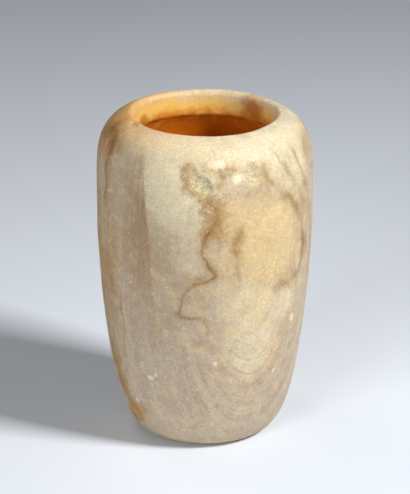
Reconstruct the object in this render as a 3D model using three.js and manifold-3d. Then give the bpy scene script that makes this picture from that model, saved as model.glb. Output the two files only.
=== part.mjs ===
// A small alabaster vase, carved and drilled by hand from one block of stone.
// Lengths are millimetres and +Z is up. The origin is the middle of the flat underside.
// Azimuths are in degrees round the axis, from the front (-Y) towards the right (+X).
import * as THREE from "three";
import { mergeVertices, toCreasedNormals } from "three/addons/utils/BufferGeometryUtils.js";
import Module from "manifold-3d";

// Driving dimensions
const HEIGHT = 140;
const BELLY_RADIUS = 45.2;
const BELLY_HEIGHT = 95;
const FOOT_RADIUS = 20; // the flat that the vase stands on
const LIP_RADIUS = 31.4; // the circle along the top of the rim
const MOUTH_RADIUS = 29.3;
const LIP_ROLL = 2.6; // how far down the rim rounds over into the mouth
const THROAT_DEPTH = 11; // from the top of the rim to the undercut
const CAVITY_RADIUS = 35; // at the belly, so the wall there is about 10 mm thick
const FLOOR_THICKNESS = 15;
const FLOOR_RADIUS = 14;

// How full each quarter of the outline is: 2 and 2 is an ellipse, and more is squarer
const SHOULDER_FULLNESS = { reach: 1.25, rise: 6.4 };
const WALL_FULLNESS = { reach: 3.3, rise: 1.42 };
const ROLL_FULLNESS = { reach: 2, rise: 2 };
const UNDERCUT_FULLNESS = { reach: 1.3, rise: 3.6 };

// Faces round the axis, and faces along each stretch of the outline
const ROUND_FACES = 72;
const WALL_FACES = 17;
const SHOULDER_FACES = 16;
const ROLL_FACES = 4;
const UNDERCUT_FACES = 7;
const CAVITY_FACES = 12;

// The stone isn't quite round: shallow waves that run round it and twist on the way up
const WAVES = [
  { lobes: 2, depth: 0.3, azimuth: 45, twist: 0.15 },
  { lobes: 3, depth: 0.22, azimuth: 20, twist: -0.3 },
  { lobes: 5, depth: 0.12, azimuth: 8, twist: 0.5 },
];

// Long flats left by dressing the wall, each leaning a little as it goes up
const FLATS = [
  { azimuth: -46, lean: -0.1, depth: 1.5, low: 30, high: 133 },
  { azimuth: -72, lean: 0.02, depth: 0.5, low: 30, high: 122 },
  { azimuth: 74, lean: 0.04, depth: 0.35, low: 20, high: 112 },
  { azimuth: 131, lean: 0.05, depth: 0.6, low: 30, high: 120 },
  { azimuth: -152, lean: -0.06, depth: 0.7, low: 45, high: 126 },
];
const FLAT_FADE = { low: 34, high: 9 }; // the height over which a flat runs out at each end

// Losses at the surface: where, how long, how wide and how deep, and the turn of the long way from level
const CHIPS = [
  { azimuth: -1.7, height: 123.6, length: 14.5, width: 7, depth: 1.4, turn: -43 },
  { azimuth: 25.6, height: 127.4, length: 12, width: 6.5, depth: 1.1, turn: 88 },
  { azimuth: 56, height: 139.6, length: 8, width: 4.5, depth: 0.7, turn: 5 },
  { azimuth: -62, height: 139.6, length: 9, width: 4.5, depth: 0.6, turn: -5 },
  { azimuth: 158, height: 130, length: 12, width: 8, depth: 1.2, turn: 25 },
  { azimuth: 118, height: 12, length: 10, width: 6, depth: 1, turn: 10 },
  { azimuth: -112, height: 62, length: 13, width: 7, depth: 1, turn: 75 },
];
const CHIP_ROUNDNESS = 3; // half the cutter's thickness, in chip depths
const CHIP_ROUGHNESS = 0.1;

const CREASE_ANGLE = 11;
const STONE = { color: 0xd9c29a, roughness: 0.5, metalness: 0 };

const radians = THREE.MathUtils.degToRad;
const smooth = THREE.MathUtils.smoothstep;

// A curve from an upright stretch of wall to a level one, as points (radius, height)
function quarter(upright, level, fullness, steps = 240) {
  return Array.from({ length: steps + 1 }, (_, i) => {
    const turn = (i / steps) * (Math.PI / 2);
    const across = Math.cos(turn) ** (2 / fullness.reach);
    const up = Math.sin(turn) ** (2 / fullness.rise);
    return new THREE.Vector2(
      i === steps ? level.x : level.x + (upright.x - level.x) * across,
      i === steps ? level.y : upright.y + (level.y - upright.y) * up,
    );
  });
}

// The same line with fewer points, closer together where it turns
function resample(line, faces) {
  const turnWeight = 14; // millimetres of length that one radian of turning counts as
  const along = [0];
  for (let i = 1; i < line.length; i++) {
    const step = line[i].clone().sub(line[i - 1]);
    const before = i > 1 ? line[i - 1].clone().sub(line[i - 2]) : step;
    const turn = Math.abs(before.cross(step)) / (before.length() * step.length() || 1);
    along.push(along[i - 1] + step.length() + turnWeight * Math.asin(Math.min(1, turn)));
  }
  const total = along[along.length - 1];
  return Array.from({ length: faces + 1 }, (_, k) => {
    const wanted = (k / faces) * total;
    const i = Math.max(1, along.findIndex((a) => a >= wanted - 1e-9));
    const share = (wanted - along[i - 1]) / (along[i] - along[i - 1] || 1);
    return line[i - 1].clone().lerp(line[i], share);
  });
}

// The whole section, from the middle of the underside over the rim to the middle of the inner floor
function section() {
  const foot = new THREE.Vector2(FOOT_RADIUS, 0);
  const belly = new THREE.Vector2(BELLY_RADIUS, BELLY_HEIGHT);
  const lip = new THREE.Vector2(LIP_RADIUS, HEIGHT);
  const mouth = new THREE.Vector2(MOUTH_RADIUS, HEIGHT - LIP_ROLL);
  const throat = new THREE.Vector2(MOUTH_RADIUS, HEIGHT - THROAT_DEPTH);
  const cavity = new THREE.Vector2(CAVITY_RADIUS, BELLY_HEIGHT);
  const floor = new THREE.Vector2(FLOOR_RADIUS, FLOOR_THICKNESS);

  const wall = resample(quarter(belly, foot, WALL_FULLNESS).reverse(), WALL_FACES);
  const shoulder = resample(quarter(belly, lip, SHOULDER_FULLNESS), SHOULDER_FACES);
  const roll = resample(quarter(mouth, lip, ROLL_FULLNESS).reverse(), ROLL_FACES);
  const undercut = resample(quarter(cavity, throat, UNDERCUT_FULLNESS).reverse(), UNDERCUT_FACES);
  const inside = resample(quarter(cavity, floor, WALL_FULLNESS), CAVITY_FACES);

  const outer = [...wall, ...shoulder.slice(1)];
  const inner = [...roll.slice(1), ...undercut, ...inside.slice(1)];
  return {
    points: [new THREE.Vector2(0, 0), ...outer, ...inner, new THREE.Vector2(0, FLOOR_THICKNESS)],
    outerCount: outer.length + 1,
  };
}

// Radius of the plain outline at a height on the outside
function wallRadius(height) {
  const above = height > BELLY_HEIGHT;
  const end = above ? LIP_RADIUS : FOOT_RADIUS;
  const span = above ? HEIGHT - BELLY_HEIGHT : BELLY_HEIGHT;
  const { reach, rise } = above ? SHOULDER_FULLNESS : WALL_FULLNESS;
  const share = Math.min(1, Math.abs(height - BELLY_HEIGHT) / span);
  return end + (BELLY_RADIUS - end) * (1 - share ** rise) ** (1 / reach);
}

// How far the waves push the stone out, at full strength on the belly and little at the foot
function wave(azimuth, height) {
  const strength = smooth(height, 0, BELLY_HEIGHT / 2);
  const sum = WAVES.reduce((total, w) => {
    const start = w.azimuth + w.twist * (height - BELLY_HEIGHT);
    return total + w.depth * Math.cos(w.lobes * radians(azimuth - start));
  }, 0);
  return strength * sum;
}

// The radius once the dressed flats have been taken off
function dressed(radius, azimuth, height) {
  return FLATS.reduce((least, flat) => {
    const middle = flat.azimuth + flat.lean * (height - BELLY_HEIGHT);
    const apart = THREE.MathUtils.euclideanModulo(azimuth - middle + 180, 360) - 180;
    if (Math.abs(apart) > 60) return least;
    const rising = smooth(height, flat.low, flat.low + FLAT_FADE.low);
    const ending = 1 - smooth(height, flat.high - FLAT_FADE.high, flat.high);
    const plane = (radius - flat.depth * rising * ending) / Math.cos(radians(apart));
    return Math.min(least, rising * ending > 0 ? plane : least);
  }, radius);
}

// The turned outline, moved in and out by the hand work
function carvedGeometry() {
  const { points, outerCount } = section();
  const geometry = new THREE.LatheGeometry(points, ROUND_FACES).rotateX(Math.PI / 2);
  const position = geometry.getAttribute("position");
  for (let i = 0; i < position.count; i++) {
    const outside = i % points.length < outerCount;
    const [x, y, z] = [position.getX(i), position.getY(i), position.getZ(i)];
    const radius = Math.hypot(x, y);
    if (radius <= FOOT_RADIUS && outside) continue;
    const azimuth = THREE.MathUtils.radToDeg(Math.atan2(x, -y));
    const plain = outside ? dressed(radius, azimuth, z) : radius;
    const share = (plain + wave(azimuth, z) * Math.min(1, radius / FOOT_RADIUS)) / (radius || 1);
    position.setXY(i, x * share, y * share);
  }
  return geometry;
}

// A rough pebble, set so that it bites a chip out of the wall
function chipGeometry({ azimuth, height, length, width, depth, turn }) {
  const pebble = new THREE.IcosahedronGeometry(1, 3);
  const position = pebble.getAttribute("position");
  const direction = new THREE.Vector3();
  for (let i = 0; i < position.count; i++) {
    direction.fromBufferAttribute(position, i);
    const { x, y, z } = direction;
    const bump = Math.sin(5 * x + azimuth) * Math.sin(6 * y + height) * Math.cos(4 * z + width);
    direction.multiplyScalar(1 + CHIP_ROUGHNESS * bump);
    position.setXYZ(i, direction.x, direction.y, direction.z);
  }
  const thick = CHIP_ROUNDNESS * depth;
  const openShare = Math.sqrt(1 - (1 - 1 / CHIP_ROUNDNESS) ** 2); // of the pebble's full width
  pebble.scale(length / 2 / openShare, width / 2 / openShare, thick).rotateZ(radians(turn));

  // The pebble's own Z points out of the wall, and its Y up the wall
  const step = 0.05;
  const slope = (wallRadius(height + step) - wallRadius(height - step)) / (2 * step);
  const outward = new THREE.Vector3(Math.sin(radians(azimuth)), -Math.cos(radians(azimuth)), 0);
  const spot = outward.clone().multiplyScalar(wallRadius(height)).setZ(height);
  const out = outward.clone().setZ(-slope).normalize();
  const along = new THREE.Vector3(0, 0, 1).cross(out).normalize();
  const turned = new THREE.Matrix4().makeBasis(along, out.clone().cross(along), out);
  turned.setPosition(spot.addScaledVector(out, thick - depth));
  return pebble.applyMatrix4(turned);
}

// A closed geometry as a solid that can be cut
function solidOf(wasm, geometry) {
  const bare = new THREE.BufferGeometry();
  bare.setAttribute("position", geometry.getAttribute("position"));
  if (geometry.index) bare.setIndex(geometry.index);
  const merged = mergeVertices(bare, 1e-3);
  return new wasm.Manifold(
    new wasm.Mesh({
      numProp: 3,
      vertProperties: merged.getAttribute("position").array,
      triVerts: new Uint32Array(merged.index.array),
    }),
  );
}

// A solid as a geometry that stays crisp where the stone turns sharply
function geometryOf(solid) {
  const { vertProperties, triVerts } = solid.getMesh();
  const geometry = new THREE.BufferGeometry();
  geometry.setAttribute("position", new THREE.BufferAttribute(vertProperties, 3));
  geometry.setIndex(new THREE.BufferAttribute(triVerts, 1));
  return toCreasedNormals(geometry, radians(CREASE_ANGLE));
}

function vase(wasm) {
  const carved = solidOf(wasm, carvedGeometry());
  const chipped = CHIPS.reduce(
    (stone, chip) => stone.subtract(solidOf(wasm, chipGeometry(chip))),
    carved,
  );
  const mesh = new THREE.Mesh(geometryOf(chipped), new THREE.MeshStandardMaterial(STONE));
  mesh.name = "vase";
  return mesh;
}

const wasm = await Module();
wasm.setup();

const object = new THREE.Group();
object.add(vase(wasm));

export default object;
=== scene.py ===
"""A small alabaster vase: the carved and drilled stone, its veins and worn skin, and a plain studio."""

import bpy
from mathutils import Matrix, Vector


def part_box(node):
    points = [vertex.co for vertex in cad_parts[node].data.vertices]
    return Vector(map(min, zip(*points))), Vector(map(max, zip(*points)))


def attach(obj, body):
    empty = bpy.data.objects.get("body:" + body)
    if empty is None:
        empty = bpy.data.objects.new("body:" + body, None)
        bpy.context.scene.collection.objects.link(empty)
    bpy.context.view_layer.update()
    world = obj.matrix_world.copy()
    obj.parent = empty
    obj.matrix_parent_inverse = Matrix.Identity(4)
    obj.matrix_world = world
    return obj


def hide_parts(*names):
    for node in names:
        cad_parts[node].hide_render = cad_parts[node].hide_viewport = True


bl_info = {
    "name": "Carved Alabaster Vase",
    "version": (1, 0, 0),
    "blender": (4, 5, 0),
    "location": "3D View > Sidebar > Alabaster",
    "description": "Carves a hand-drilled alabaster vase, finishes its stone and sets up a plain studio",
    "category": "Add Mesh",
}

import math

import bpy
import numpy as np
from bpy.props import FloatProperty, FloatVectorProperty, IntProperty, PointerProperty
from bpy.types import Operator, Panel, PropertyGroup
from mathutils import Vector

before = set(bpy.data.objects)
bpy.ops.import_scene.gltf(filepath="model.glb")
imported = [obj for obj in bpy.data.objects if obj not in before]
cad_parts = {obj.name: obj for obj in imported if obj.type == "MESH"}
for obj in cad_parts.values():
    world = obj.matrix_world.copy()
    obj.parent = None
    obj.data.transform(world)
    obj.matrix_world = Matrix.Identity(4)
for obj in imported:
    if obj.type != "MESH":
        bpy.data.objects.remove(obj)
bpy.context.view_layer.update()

MM = 0.001

# Sizes that the solid vase gives
SOLID_LOW, SOLID_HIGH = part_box("vase")
HEIGHT = SOLID_HIGH.z - SOLID_LOW.z
BELLY_RADIUS = (SOLID_HIGH.x - SOLID_LOW.x + SOLID_HIGH.y - SOLID_LOW.y) / 4

# How full each quarter of the outline is, across and up: 2 and 2 is an ellipse, and more is squarer
WALL_FULLNESS = (3.3, 1.42)
SHOULDER_FULLNESS = (1.25, 6.4)
ROLL_FULLNESS = (2, 2)
UNDERCUT_FULLNESS = (1.3, 3.6)
LIP_ROLL = 2.6 * MM
INNER_FLOOR_RADIUS = 14 * MM

# Rings of the mesh along each stretch of the outline
ROWS = {
    "underside": 7,
    "wall": 108,
    "shoulder": 76,
    "roll": 10,
    "throat": 9,
    "undercut": 12,
    "cavity": 28,
    "floor": 4,
}
TURN_WEIGHT = 5 * MM  # length of outline that one radian of turning counts as

# Shallow waves that keep the stone from being quite round: lobes, depth, azimuth, and twist per metre
WAVES = (
    (2, 0.3 * MM, 45, 150),
    (3, 0.22 * MM, 20, -300),
    (5, 0.12 * MM, 8, 500),
)

# Long dressed flats: azimuth, lean per metre, depth, and the heights where each runs out
FLATS = (
    (-46, -100, 1.5 * MM, 30 * MM, 133 * MM),
    (-72, 20, 0.5 * MM, 30 * MM, 122 * MM),
    (74, 40, 0.35 * MM, 20 * MM, 112 * MM),
    (131, 50, 0.6 * MM, 30 * MM, 120 * MM),
    (-152, -60, 0.7 * MM, 45 * MM, 126 * MM),
)
FLAT_FADE = (34 * MM, 9 * MM)  # the height over which a flat runs out, at the bottom and the top
FLAT_REACH = 60  # degrees each side of a flat that its plane can touch
ARRIS_WEAR = 0.12 * MM  # how far the edge of a flat is rounded off

# Broken places: azimuth, height, length, width, depth, the turn of the long way from level, and how fresh
CHIPS = (
    (-1.7, 123.6 * MM, 14.5 * MM, 7 * MM, 1.4 * MM, -43, 1.0),
    (25.6, 127.4 * MM, 12 * MM, 6.5 * MM, 1.1 * MM, 88, 0.6),
    (56, 139.6 * MM, 8 * MM, 4.5 * MM, 0.7 * MM, 5, 0.3),
    (-62, 139.6 * MM, 9 * MM, 4.5 * MM, 0.6 * MM, -5, 0.0),
    (158, 130 * MM, 12 * MM, 8 * MM, 1.2 * MM, 25, 0.7),
    (118, 12 * MM, 10 * MM, 6 * MM, 1 * MM, 10, 0.6),
    (-112, 62 * MM, 13 * MM, 7 * MM, 1 * MM, 75, 0.6),
)
CHIP_ROUNDNESS = 3

# Veins on the wall: layer, half the dark line's width (millimetres), strength, and the places (azimuth in
# degrees, height in millimetres) that it passes through. Veins of one layer stay clear of each other.
VEINS = {
    "jagged vein": ("vein_a", 0.55, 1.0, (
        (0.5, 118), (4.4, 114.5), (6.6, 111.5), (5.5, 107.5), (3, 104.5), (0, 101.5), (-2, 96),
        (-1, 92), (3, 88), (5, 84), (2, 82), (-5, 80), (-10, 76), (-12, 71), (-13, 66), (-8, 65.5),
        (-2, 65), (1, 61), (1, 54),
    )),
    "inner vein": ("vein_b", 0.8, 0.5, (
        (22, 108), (19.5, 104.5), (15.5, 99.5), (14.5, 96), (16, 91), (16, 86), (19, 80),
    )),
    "loop vein": ("vein_a", 1.2, 0.85, (
        (30, 134), (33, 127), (37, 121), (46, 115), (53, 110), (58, 104), (62, 97), (63, 88), (61, 80),
        (53, 77), (43, 75), (36, 72),
    )),
    "loop vein, middle line": ("vein_b", 0.8, 0.55, (
        (42, 137), (43, 131), (46, 127), (52, 121), (60, 113), (67, 103), (69, 90), (67, 78),
    )),
    "loop vein, outer line": ("vein_a", 0.5, 0.5, (
        (54, 138), (57, 132), (60, 124), (66, 114), (73, 104), (76, 90), (74, 72), (66, 54), (54, 38),
    )),
    "side branch": ("vein_b", 0.4, 0.5, (
        (-12, 83), (-7, 82.5), (-2, 83), (3, 85),
    )),
    "flank edge": ("vein_b", 0.4, 0.5, (
        (-36, 134), (-35.3, 129), (-33.1, 115), (-31.4, 98), (-30.6, 84), (-29.5, 68),
    )),
    "flank vein": ("vein_a", 0.5, 0.6, (
        (-49, 108), (-50, 96), (-51, 84), (-54, 70), (-55, 60), (-54, 48), (-58, 36),
    )),
    "flank wedge": ("vein_b", 1.0, 0.7, (
        (-70, 86), (-64, 75), (-57, 66), (-55, 56),
    )),
    "foot streak": ("vein_b", 1.2, 0.6, (
        (-74, 44), (-70, 32), (-67, 24), (-60, 17), (-50, 11),
    )),
    "left shoulder band": ("vein_a", 1.6, 1.0, (
        (-84, 138), (-75, 136.5), (-67, 134.5), (-64, 131), (-65, 126), (-66, 114), (-68, 102),
        (-71, 92),
    )),
    "right side vein": ("vein_b", 0.7, 0.6, (
        (92, 139), (94, 128), (90, 112), (96, 96), (92, 80), (99, 62), (94, 44), (86, 26),
    )),
    "back loop": ("vein_a", 0.6, 0.8, (
        (118, 136), (124, 124), (136, 116), (150, 110), (158, 98), (154, 84), (142, 76), (128, 72),
        (118, 60),
    )),
    "back jagged vein": ("vein_b", 0.5, 0.9, (
        (172, 132), (176, 120), (170, 108), (178, 100), (186, 92), (180, 84), (184, 72), (176, 64),
        (180, 50),
    )),
    "back left band": ("vein_a", 1.0, 0.6, (
        (-128, 138), (-134, 122), (-130, 104), (-138, 86), (-134, 66), (-142, 46), (-136, 26),
    )),
    "left side vein": ("vein_b", 0.6, 0.6, (
        (-98, 124), (-102, 108), (-98, 92), (-104, 76), (-100, 58), (-106, 40), (-100, 24),
    )),
}
VEIN_REACH = 8 * MM
VEIN_STEP = 0.9 * MM
VEIN_SWAY = (0.55, 0.4)  # how far a vein strays from its places, in degrees and millimetres
FAR = 60.0  # in half widths from a vein, where nothing of it shows

# Soft patches of colour on the wall: azimuth, height, width, tallness (millimetres), turn and strength
PATCHES = {
    "cream": (
        (-18, 130, 24, 15, 0, 1.3), (-29, 133, 10, 9, 0, 1.0), (14, 136, 26, 8, 0, 0.25),
        (72, 137, 14, 6, 0, 0.8), (12, 17, 24, 10, 0, 0.35), (38, 131, 12, 9, 0, 0.7),
        (56, 128, 8, 12, 10, 0.7), (49, 70, 6, 9, 10, 0.6), (-12, 110, 14, 11, 0, 0.55),
        (-8, 92, 9, 10, 0, 0.35), (52, 112, 9, 16, 0, 0.5), (24, 72, 14, 10, 0, 0.6),
        (31, 54, 15, 15, 0, 0.65), (25, 38, 14, 9, 0, 0.4), (40, 104, 10, 14, 0, 0.4),
        (60, 84, 5, 20, 0, 0.4), (150, 128, 26, 12, 0, 0.8), (-140, 118, 16, 16, 0, 0.6),
        (96, 84, 12, 20, 0, 0.4),
    ),
    "amber": (
        (31, 103, 18, 15, 0, 1.0), (12, 112, 9, 9, 0, 0.6), (30, 86, 14, 10, 0, 0.6),
        (46, 92, 9, 16, 0, 0.6), (28, 67, 14, 9, 0, 0.5), (40, 48, 4, 5, 0, 0.7),
        (8, 131, 13, 4, 0, 0.5), (138, 92, 16, 14, 0, 0.8), (-172, 74, 14, 18, 0, 0.5),
    ),
    "grey": (
        # The grey patch at azimuth -84 darkens the far-left edge of the wall: painted shade
        (-22, 92, 11, 20, 0, 0.8), (-46, 96, 11, 30, 0, 0.7), (-84, 70, 9, 50, 0, 0.9),
        (-24, 60, 12, 10, 0, 0.6), (-5, 78, 9, 9, 0, 0.6), (-44, 128, 10, 7, 0, 0.25),
        (110, 108, 12, 20, 0, 0.6), (-150, 84, 14, 24, 0, 0.6), (165, 44, 18, 14, 0, 0.4),
    ),
    "rose": (
        (-33, 52, 22, 24, 0, 1.2), (-10, 32, 26, 22, 0, 1.0), (24, 20, 30, 16, 0, 1.0),
        (-50, 26, 18, 18, 0, 0.7), (-52, 98, 12, 34, 0, 0.6), (-70, 60, 10, 24, 0, 0.5),
        (70, 56, 8, 26, 0, 0.9), (74, 104, 9, 26, 0, 0.8), (130, 34, 26, 18, 0, 0.8),
        (-120, 40, 24, 20, 0, 0.8),
    ),
    "russet": (
        (-78, 133, 13, 8, 0, 1.4), (-88, 104, 8, 30, 0, 0.6), (-73, 76, 8, 15, -20, 0.9),
        (-57, 12, 10, 5, 30, 1.15), (-70, 34, 5, 12, 12, 0.5), (112, 98, 8, 30, 0, 0.6),
        (-150, 40, 10, 26, 0, 0.6),
    ),
    "rust": (
        (-8.5, 126.5, 3.4, 4.5, 0, 1.4), (-10, 128, 2.2, 1.8, -35, 1.0), (9, 103, 9, 10, 0, 0.33),
        (-2, 129.5, 9, 2.6, -8, 0.45), (-9, 120.5, 4, 3, -30, 0.45), (-1, 118.5, 6, 3, -45, 1.1),
        (4, 112.5, 4.2, 5, -20, 1.1), (4.5, 106, 4.4, 6, 10, 0.8), (0, 99, 3.4, 5, 10, 0.35),
        (9, 126, 4, 7, 10, 0.5), (15, 128.5, 6, 2, -10, 0.45), (28, 121, 9, 3, 30, 0.35),
        (-62, 84, 6, 26, 0, 0.6), (-76, 64, 8, 34, 0, 0.75), (-80, 134.5, 6, 5, 20, 0.6),
        # The rust patch at azimuth -88, height 96, is a stain made stronger as painted shade along the
        # far-left edge
        (-86, 120, 10, 12, 20, 0.35), (-88, 96, 8, 30, 0, 1.1), (-56, 12, 9, 4.5, 30, 1.1),
        (-66, 28, 5, 16, 12, 0.85), (-2, 54, 4, 4, 0, 0.5), (17, 97, 2.5, 7, 0, 0.5),
        (-133, 100, 6, 20, 0, 0.5), (176, 110, 6, 6, 0, 0.7), (150, 137, 14, 5, 0, 0.6),
    ),
}

# The right edge of the rubbed-down flank, as places (azimuth, height in millimetres), and how dull it leaves
# the stone beside each
FLANK_EDGE = (
    (-36.5, 136, 0.0), (-35.3, 129, 0.9), (-33.1, 115, 1.0), (-31.4, 98, 1.0), (-30, 75, 0.6),
    (-27.2, 60, 0.25), (-26, 45, 0.0),
)
FLANK_WIDTH = 15 * MM

# Where the stone's growth layers show most: azimuth, height, width and tallness (millimetres), turn, strength
LAYERED = (
    (28, 32, 26, 20, 0, 1.0), (66, 70, 14, 50, 0, 0.8), (-66, 78, 13, 50, 0, 0.9),
    (-10, 26, 20, 12, 0, 0.4), (120, 60, 34, 44, 0, 0.9), (-140, 70, 34, 44, 0, 0.9),
    (75, 128, 20, 10, 0, 0.5),
)

# Pale, smoother spots: the first two, on the front of the shoulder, are painted highlights, and the rest are
# bleached stone: azimuth, height, width and tallness (millimetres), and turn
BLEACH_AND_HIGHLIGHT_SPOTS = (
    (6.8, 131.3, 4.2, 2.2, 0), (17, 125.6, 3.0, 2.6, 20), (-35, 34, 1.7, 1.0, -20),
    (-31, 36, 0.9, 1.0, 0), (56, 58, 1.6, 2.2, 20), (44, 36, 1.6, 1.0, 30), (6, 44, 1.2, 1.0, 0),
    (-50, 20, 1.4, 1.0, 0), (140, 90, 2.4, 1.8, 0), (-110, 110, 2.0, 1.6, 0),
)

# Where the rim's painted warm glow and highlight are strongest, towards the left shoulder
LIP_GLOW_AZIMUTH = -95  # where the rim is most golden

# Darker brown patches inside the mouth: azimuth, its spread, height and its spread
THROAT_DARK_PATCHES = (
    (136, 13, 134 * MM, 6 * MM),
    (-120, 8, 130 * MM, 4 * MM),
)

PIT_COUNT = 150
PIT_SIZES = (0.9 * MM, 2.1 * MM)
PIT_DEPTHS = (0.08 * MM, 0.32 * MM)
PIT_SEED = 41

DRILL_SPACING = 2.7 * MM  # from one drill ring to the next
UNDERSIDE_HOLLOW = 0.25 * MM
RIM_HEIGHT = 5 * MM  # how far down the wall the dips of the rim reach

# Softboxes: name, the setting with its power, azimuth, elevation, distance, size and colour
SOFTBOXES = (
    ("key_softbox", "key_power", 62, 40, 1.05, 0.22, (1.0, 0.985, 0.96)),
    ("fill_softbox", "fill_power", -31, 14, 1.25, 0.5, (0.98, 0.99, 1.0)),
    ("edge_softbox", "edge_power", -130, 60, 1.2, 0.4, (1.0, 0.86, 0.7)),
)
SOFTBOX_SPREAD = math.radians(120)
AIR_COLOUR = (0.72, 0.8, 0.9, 1.0)
SENSOR_WIDTH = 36


def linear(red, green, blue):
    """A colour given as 0 to 255 on a screen, as the light values that a shader uses"""
    shares = (channel / 255 for channel in (red, green, blue))
    return tuple(s / 12.92 if s <= 0.04045 else ((s + 0.055) / 1.055) ** 2.4 for s in shares)


def a_length(name, description, default):
    """A setting that holds a length in metres"""
    return FloatProperty(name=name, description=description, default=default, unit="LENGTH")


def a_colour(name, description, red, green, blue):
    """A setting that holds a colour, given as 0 to 255 on a screen"""
    return FloatVectorProperty(
        name=name, description=description, default=linear(red, green, blue), subtype="COLOR"
    )


def a_share(name, description, default):
    """A setting that holds a share from 0 to 1"""
    return FloatProperty(
        name=name, description=description, default=default, min=0, max=1, subtype="FACTOR"
    )


def a_power(name, description, default):
    """A setting that holds a lamp's power in watts"""
    return FloatProperty(name=name, description=description, default=default, unit="POWER")


class VaseForm(PropertyGroup):
    height: a_length("Height", "From the underside to the top of the rim", HEIGHT)
    belly_radius: a_length("Belly radius", "Where the vase is widest", BELLY_RADIUS)
    belly_height: a_length("Belly height", "Height of the widest place", 95 * MM)
    foot_radius: a_length("Foot radius", "The flat that it stands on", 20 * MM)
    lip_radius: a_length("Lip radius", "The circle along the top of the rim", 31.4 * MM)
    mouth_radius: a_length("Mouth radius", "The drilled throat", 29.3 * MM)
    throat_depth: a_length("Throat depth", "From the rim to the undercut", 11 * MM)
    cavity_radius: a_length("Cavity radius", "The hollow at the belly", 35 * MM)
    floor_thickness: a_length("Floor thickness", "Stone left under the hollow", 15 * MM)
    columns: IntProperty(
        name="Columns", description="Mesh columns round the axis", default=384, min=24, max=384
    )


class StoneFinish(PropertyGroup):
    body: a_colour("Body", "The stone between its patches", 183, 162, 130)
    cream: a_colour("Cream", "Pale milky stone", 228, 217, 184)
    amber: a_colour("Amber", "Clear honey-coloured stone", 217, 188, 132)
    grey: a_colour("Grey", "Dull grey-beige stone", 168, 147, 116)
    rose: a_colour("Rose", "Pinkish tan stone near the foot", 178, 160, 143)
    rust: a_colour("Rust", "Brown stain", 161, 120, 54)
    vein: a_colour("Vein", "The dark line of a vein", 126, 84, 34)
    russet: a_colour("Russet", "Warm reddish stone of the left side", 186, 120, 66)
    flank: a_colour("Flank", "Worn stone on the rubbed-down flank", 150, 112, 80)
    crystal: a_colour("Crystal", "Freshly broken stone", 238, 232, 208)
    break_shade: a_colour("Break shade", "Between the crystals of a break", 168, 148, 102)
    # Lip: the painted warm glow and highlight on the rim, strongest towards the left
    lip: a_colour("Lip", "Warm polished stone round the rim", 242, 182, 94)
    rim: a_colour("Rim", "Pale polished stone round the rim", 233, 223, 194)
    # Throat and hollow: the painted glow of light through the wall, honey near the rim and deep amber further
    # in
    throat: a_colour("Throat", "Stone just inside the mouth", 236, 196, 98)
    # A darker brown laid over patches inside the mouth
    smudge: a_colour("Smudge", "Brown stain inside the mouth", 164, 92, 26)
    hollow: a_colour("Hollow", "Drilled stone deep inside", 208, 114, 8)
    roughness: a_share("Roughness", "Of the smoothed skin", 0.5)
    translucency: a_share("Translucency", "Share of light that passes under the skin", 0.55)
    scatter_depth: a_length("Scatter depth", "How far red light travels in the stone", 4.5 * MM)
    grain_size: a_length("Grain size", "Width of one crystal", 0.6 * MM)


class Studio(PropertyGroup):
    camera_elevation: FloatProperty(
        name="Camera elevation", description="Angle above the level", subtype="ANGLE",
        default=math.radians(21.6),
    )
    camera_distance: a_length("Camera distance", "From the middle of the vase", 1120 * MM)
    view_height: a_length("View height", "What the picture's height covers at the vase", 209.2 * MM)
    aim_above: a_length("Aim above", "How far above the vase's middle the camera aims", 9.15 * MM)
    paper: a_colour("Paper", "Floor and backdrop", 227, 234, 244)
    floor_width: a_length("Floor width", "Side of the paper sheet", 4.0)
    key_power: a_power("Key power", "The main softbox, at the right", 5.6)
    fill_power: a_power("Fill power", "The low softbox at the left of the camera", 3.9)
    edge_power: a_power("Edge power", "The warm softbox high behind the left shoulder", 0.8)
    air_strength: FloatProperty(
        name="Room light", description="Even light from all round", default=0.1, min=0
    )


def smooth(value, low, high):
    """Rises smoothly from 0 at low to 1 at high"""
    share = np.clip((value - low) / (high - low), 0, 1)
    return share * share * (3 - 2 * share)


def ripples(points, size, seed, stretch=(1, 1, 1), layers=24):
    """A smooth random field, mostly between -1 and 1, whose bumps are about size across"""
    random = np.random.default_rng(seed)
    directions = random.normal(size=(layers, 3))
    directions /= np.linalg.norm(directions, axis=1, keepdims=True)
    pace = np.pi / (size * random.uniform(0.65, 1.6, layers))
    phases = random.uniform(0, 2 * np.pi, layers)
    turns = (points / np.array(stretch)) @ (directions * pace[:, None]).T + phases
    return np.cos(turns).sum(axis=1) * math.sqrt(0.6 / layers)


def quarter(upright, level, fullness, steps=600):
    """A curve from an upright stretch of outline to a level one, as (radius, height) points"""
    turn = np.linspace(0, np.pi / 2, steps + 1)
    across = np.clip(np.cos(turn), 0, 1) ** (2 / fullness[0])
    up = np.sin(turn) ** (2 / fullness[1])
    across[-1] = 0
    return np.column_stack(
        [level[0] + (upright[0] - level[0]) * across, upright[1] + (level[1] - upright[1]) * up]
    )


def resample(line, count):
    """The same line as count + 1 points, closer together where it turns"""
    steps = np.diff(line, axis=0)
    lengths = np.linalg.norm(steps, axis=1)
    headings = np.unwrap(np.arctan2(steps[:, 1], steps[:, 0]))
    turns = np.abs(np.diff(headings, prepend=headings[0]))
    along = np.concatenate([[0], np.cumsum(lengths + TURN_WEIGHT * turns)])
    wanted = np.linspace(0, along[-1], count + 1)
    return np.column_stack([np.interp(wanted, along, line[:, 0]), np.interp(wanted, along, line[:, 1])])


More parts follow.
